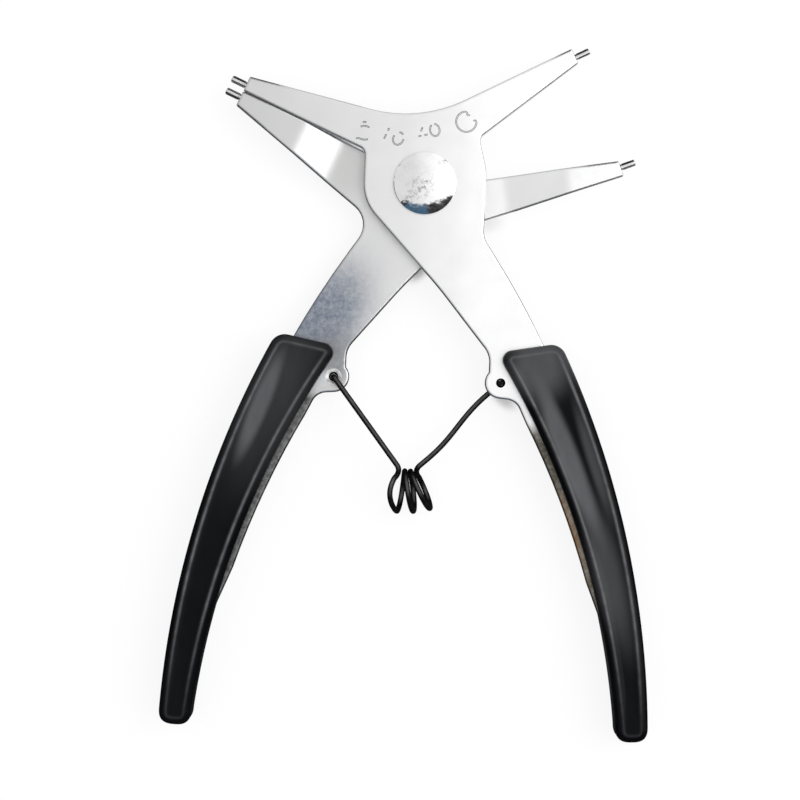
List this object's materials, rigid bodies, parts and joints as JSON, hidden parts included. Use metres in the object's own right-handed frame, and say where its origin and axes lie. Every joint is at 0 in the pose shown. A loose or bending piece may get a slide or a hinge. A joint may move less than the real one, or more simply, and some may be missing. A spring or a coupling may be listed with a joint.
{
  "type": "circlip pliers",
  "caption": "Combination circlip pliers: riveted plate levers with internal and external pin-tipped jaws, a coiled wire return spring and curved moulded grips",
  "frame": {"origin": "on the pivot axis, at the flat rear face of the rivet, in the plane of the table", "axes": "+Z along the pivot towards the domed rivet head, +Y towards the jaws and -Y towards the handles, +X towards the internal jaws"},
  "size_m": [0.1246, 0.1765, 0.012],
  "materials": {
    "plated_steel": "satin nickel plate",
    "bright_plate": "polished nickel plate",
    "pin_steel": "turned steel",
    "black_wire": "black oxide",
    "grip_plastic": "semi-gloss vinyl"
  },
  "bodies": {
    "rear_half": {"rear_lever": "plated_steel", "left_grip": "grip_plastic", "pivot_rivet": "bright_plate", "rear_external_pin": "pin_steel", "rear_internal_pin": "pin_steel", "return_spring": "black_wire"},
    "front_half": {"front_lever": "plated_steel", "right_grip": "grip_plastic", "front_external_pin": "pin_steel", "front_internal_pin": "pin_steel"}
  },
  "joints": [
    {"name": "pivot", "type": "hinge", "parent": "rear_half", "child": "front_half", "pos_m": [0, 0, 0.006], "axis": [0, 0, -1], "range_deg": [0, 30], "stiffness_Nm_per_rad": 1.2, "springref_deg": -20.05, "deforming": ["return_spring"]}
  ]
}
